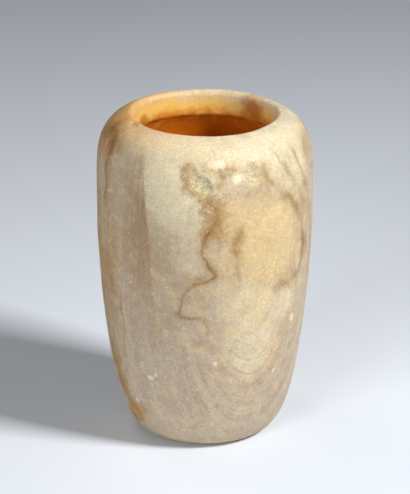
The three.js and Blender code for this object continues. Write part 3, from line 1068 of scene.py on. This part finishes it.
    # Breaks are rougher and bleached spots smoother, and the grain stands in low relief
    rough = bench.plus(bench.times(fine, 0.14), look.roughness - 0.07)
    rough = bench.plus(rough, bench.times(bench.field("fresh"), 0.15))
    rough = bench.minus(rough, bench.times(bright, 0.22), clamp=True)
    relief = bench.plus(crystals["Height"], bench.times(scratch, 0.35))
    rougher = bench.plus(1.0, bench.times(bench.field("fresh"), 0.3))
    bump = bench.add(
        "ShaderNodeBump", Height=bench.times(relief, rougher), Strength=0.55, Distance=0.16 * MM
    )
    skin = bench.add(
        "ShaderNodeBsdfPrincipled", {"subsurface_method": "RANDOM_WALK"},
        Base_Color=colour, Roughness=rough, Normal=bump.outputs["Normal"], IOR=1.52,
        Specular_IOR_Level=0.45, Subsurface_Weight=look.translucency,
        Subsurface_Radius=(1.0, 0.55, 0.22), Subsurface_Scale=look.scatter_depth,
    )
    output = bench.add("ShaderNodeOutputMaterial")
    tree.links.new(skin.outputs["BSDF"], output.inputs["Surface"])
    for group in (clouds, bedding, patch, vein, grain, rubbing):
        lay_out(group)
    lay_out(tree)
    return material


def paper(name, look):
    """The studio's pale paper, very slightly uneven"""
    material = bpy.data.materials.new(name)
    material.use_nodes = True
    tree = material.node_tree
    skin = tree.nodes["Principled BSDF"]
    bench = Bench(tree)
    place = bench.add("ShaderNodeTexCoord").outputs["Object"]
    uneven = bench.times(bench.noise(bench.scaled(place, 6.0), 2.0)["Fac"], 0.06)
    colour = bench.blend("MULTIPLY", uneven, (*look.paper, 1.0), (0.8, 0.85, 0.9, 1.0))
    bench.feed(skin.inputs["Base Color"], colour)
    skin.inputs["Roughness"].default_value = 0.75
    skin.inputs["Specular IOR Level"].default_value = 0.3
    lay_out(tree)
    return material


class ALABASTER_OT_carve(Operator):
    """Carve the vase from its outline, with flats, chips, pits, drill rings and a worn rim"""

    bl_idname = "alabaster.carve"
    bl_label = "Carve the vase"

    def execute(self, context):
        form = context.scene.alabaster_form
        if form.cavity_radius >= form.belly_radius or form.mouth_radius >= form.lip_radius:
            raise RuntimeError("the hollow is wider than the stone round it")
        vase = bpy.data.objects.new("carved_vase", stone_mesh("carved_vase", form))
        context.scene.collection.objects.link(vase)
        vase.data.materials.append(alabaster("alabaster", context.scene.alabaster_finish))
        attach(vase, "root")
        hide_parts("vase")
        return {"FINISHED"}


def direction(azimuth, elevation):
    """The way from the vase to where it is seen or lit from"""
    level = math.cos(elevation)
    return Vector((math.sin(azimuth) * level, -math.cos(azimuth) * level, math.sin(elevation)))


def set_up(scene, data, location, target):
    """Stands a lamp or a camera at a place, facing a target"""
    thing = bpy.data.objects.new(data.name, data)
    thing.location = location
    thing.rotation_euler = (target - location).to_track_quat("-Z", "Y").to_euler()
    scene.collection.objects.link(thing)
    return thing


class ALABASTER_OT_studio(Operator):
    """Set up the paper floor, the softboxes, the room's light and the camera"""

    bl_idname = "alabaster.studio"
    bl_label = "Set up the studio"

    def execute(self, context):
        scene = context.scene
        studio = scene.alabaster_studio
        middle = Vector((0, 0, scene.alabaster_form.height / 2))
        self.floor(scene, studio)
        for name, setting, *placing in SOFTBOXES:
            self.softbox(scene, name, getattr(studio, setting), middle, *placing)
        self.air(scene, studio)
        self.camera(scene, studio, middle)
        return {"FINISHED"}

    def floor(self, scene, studio):
        """A wide sheet of paper under the vase, which also fills the picture behind it"""
        half = studio.floor_width / 2
        corners = [(-half, -half, 0), (half, -half, 0), (half, half, 0), (-half, half, 0)]
        mesh = bpy.data.meshes.new("paper_floor")
        mesh.from_pydata(corners, [], [(0, 1, 2, 3)])
        mesh.materials.append(paper("studio_paper", studio))
        sheet = bpy.data.objects.new("paper_floor", mesh)
        scene.collection.objects.link(sheet)

    def softbox(self, scene, name, watts, target, azimuth, elevation, distance, size, colour):
        """A square lamp that faces the target"""
        light = bpy.data.lights.new(name, "AREA")
        light.energy = watts
        light.size = size
        light.color = colour
        light.spread = SOFTBOX_SPREAD
        way = direction(math.radians(azimuth), math.radians(elevation))
        set_up(scene, light, target + way * distance, target)

    def air(self, scene, studio):
        """Even light from the whole room"""
        world = bpy.data.worlds.new("studio_air")
        world.use_nodes = True
        background = world.node_tree.nodes["Background"]
        background.inputs["Color"].default_value = AIR_COLOUR
        background.inputs["Strength"].default_value = studio.air_strength
        scene.world = world

    def camera(self, scene, studio, middle):
        """The photograph's view: its direction, distance and framing"""
        eye = bpy.data.cameras.new("photo_camera")
        eye.sensor_fit = "AUTO"
        eye.sensor_width = SENSOR_WIDTH
        eye.lens = SENSOR_WIDTH * studio.camera_distance / studio.view_height
        rise = studio.camera_elevation
        up = Vector((0, math.sin(rise), math.cos(rise)))
        location = middle + direction(0, rise) * studio.camera_distance
        scene.camera = set_up(scene, eye, location, middle + up * studio.aim_above)
        scene.view_settings.view_transform = "Standard"


class ALABASTER_PT_panel(Panel):
    bl_label = "Alabaster vase"
    bl_idname = "ALABASTER_PT_panel"
    bl_space_type = "VIEW_3D"
    bl_region_type = "UI"
    bl_category = "Alabaster"

    def draw(self, context):
        scene = context.scene
        for settings, operator in (
            (scene.alabaster_form, ALABASTER_OT_carve.bl_idname),
            (scene.alabaster_finish, None),
            (scene.alabaster_studio, ALABASTER_OT_studio.bl_idname),
        ):
            box = self.layout.box()
            for name in settings.bl_rna.properties.keys():
                if name not in ("rna_type", "name"):
                    box.prop(settings, name)
            if operator:
                box.operator(operator)


CLASSES = (VaseForm, StoneFinish, Studio, ALABASTER_OT_carve, ALABASTER_OT_studio, ALABASTER_PT_panel)


def register():
    for cls in CLASSES:
        bpy.utils.register_class(cls)
    bpy.types.Scene.alabaster_form = PointerProperty(type=VaseForm)
    bpy.types.Scene.alabaster_finish = PointerProperty(type=StoneFinish)
    bpy.types.Scene.alabaster_studio = PointerProperty(type=Studio)


def unregister():
    del bpy.types.Scene.alabaster_studio
    del bpy.types.Scene.alabaster_finish
    del bpy.types.Scene.alabaster_form
    for cls in reversed(CLASSES):
        bpy.utils.unregister_class(cls)


def main():
    register()
    bpy.ops.alabaster.carve()
    bpy.ops.alabaster.studio()


if __name__ == "__main__":
    main()
